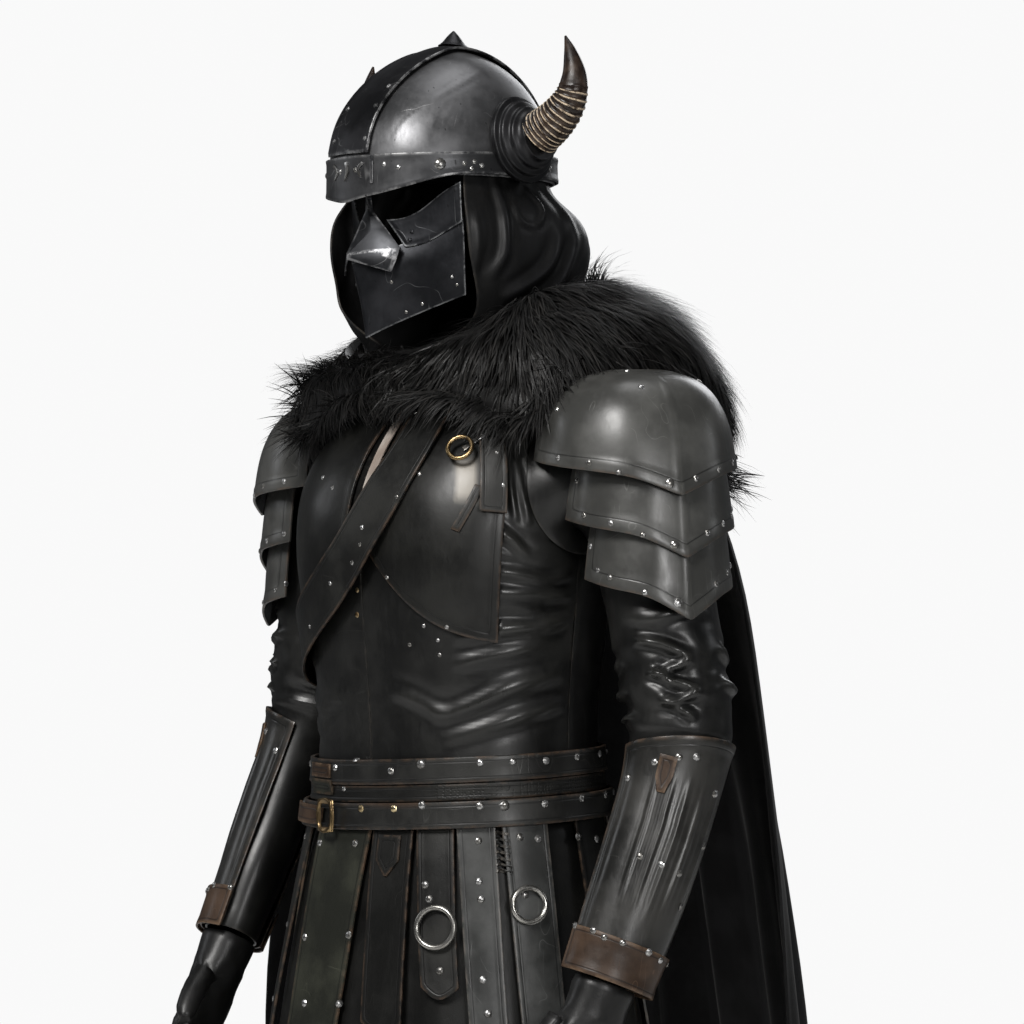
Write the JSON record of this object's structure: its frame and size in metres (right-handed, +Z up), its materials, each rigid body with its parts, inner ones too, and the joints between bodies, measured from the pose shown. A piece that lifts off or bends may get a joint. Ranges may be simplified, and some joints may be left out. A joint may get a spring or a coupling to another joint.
{
  "type": "suit of leather armour",
  "caption": "Black leather armour as worn: horned helmet with mask, hood, fur mantle, cape, jerkin, pauldrons, bracers, gloves, belts and strap skirt; hollow where the wearer goes.",
  "frame": {"origin": "on the midline at the height where the neck meets the shoulders, where the wearer's shoulders carry the suit", "axes": "+Z up, -Y the way the chest faces, +X towards the wearer's left arm"},
  "size_m": [0.7902, 0.5903, 1.5417],
  "materials": {
    "jerkin_leather": "soft black garment leather, half gloss",
    "plate_leather": "hardened black leather, burnished grey with brown worn edges",
    "strap_leather": "thick dark strap leather, dull",
    "brown_leather": "brown leather, worn",
    "glove_leather": "thin black glove leather, satin",
    "hood_leather": "soft blue-black leather, satin",
    "helmet_steel": "blackened steel, satin, scratched",
    "mask_steel": "blackened steel, darker, satin",
    "horn": "natural horn, dark brown with pale ridges",
    "fur": "long dark fur",
    "cape_wool": "heavy black wool, matt",
    "pale_cloth": "undyed cloth",
    "brass": "aged, satin",
    "ring_steel": "bright worn steel"
  },
  "bodies": {
    "root": {"helmet_bowl": "helmet_steel", "helmet_brow_band": "helmet_steel", "helmet_comb": "helmet_steel", "helmet_finial": "helmet_steel", "horn_boss_l": "helmet_steel", "horn_boss_r": "helmet_steel", "horn_l": "horn", "horn_r": "horn", "cheek_guard_l": "mask_steel", "cheek_guard_r": "mask_steel", "mask_lower": "mask_steel", "mask_nose": "mask_steel", "hood": "hood_leather", "jerkin_front_l": "jerkin_leather", "jerkin_front_r": "jerkin_leather", "jerkin_back": "jerkin_leather", "sleeve_l": "jerkin_leather", "sleeve_r": "jerkin_leather", "neck_strip": "pale_cloth", "breast_plate_l": "plate_leather", "breast_plate_r": "plate_leather", "baldric": "strap_leather", "shoulder_strap": "strap_leather", "strap_hook": "brass", "pauldron_1_l": "plate_leather", "pauldron_2_l": "plate_leather", "pauldron_3_l": "plate_leather", "pauldron_1_r": "plate_leather", "pauldron_2_r": "plate_leather", "pauldron_3_r": "plate_leather", "vambrace_l": "plate_leather", "vambrace_r": "plate_leather", "wrist_cuff_l": "brown_leather", "wrist_cuff_r": "brown_leather", "glove_l": "glove_leather", "glove_r": "glove_leather", "belt_upper": "strap_leather", "belt_middle": "strap_leather", "belt_lower": "strap_leather", "belt_buckle": "brass", "belt_strap_end": "brown_leather", "underskirt": "jerkin_leather", "skirt_strap_1": "strap_leather", "skirt_strap_2": "strap_leather", "skirt_strap_3": "strap_leather", "skirt_strap_4": "strap_leather", "skirt_strap_5": "strap_leather", "skirt_strap_6": "strap_leather", "skirt_strap_7": "strap_leather", "skirt_strap_8": "strap_leather", "skirt_strap_9": "strap_leather", "skirt_strap_10": "strap_leather", "skirt_ring_strap_1": "strap_leather", "skirt_ring_strap_2": "strap_leather", "skirt_ring_1": "ring_steel", "skirt_ring_2": "ring_steel", "fur_mantle": "fur", "cape": "cape_wool"}
  },
  "joints": []
}
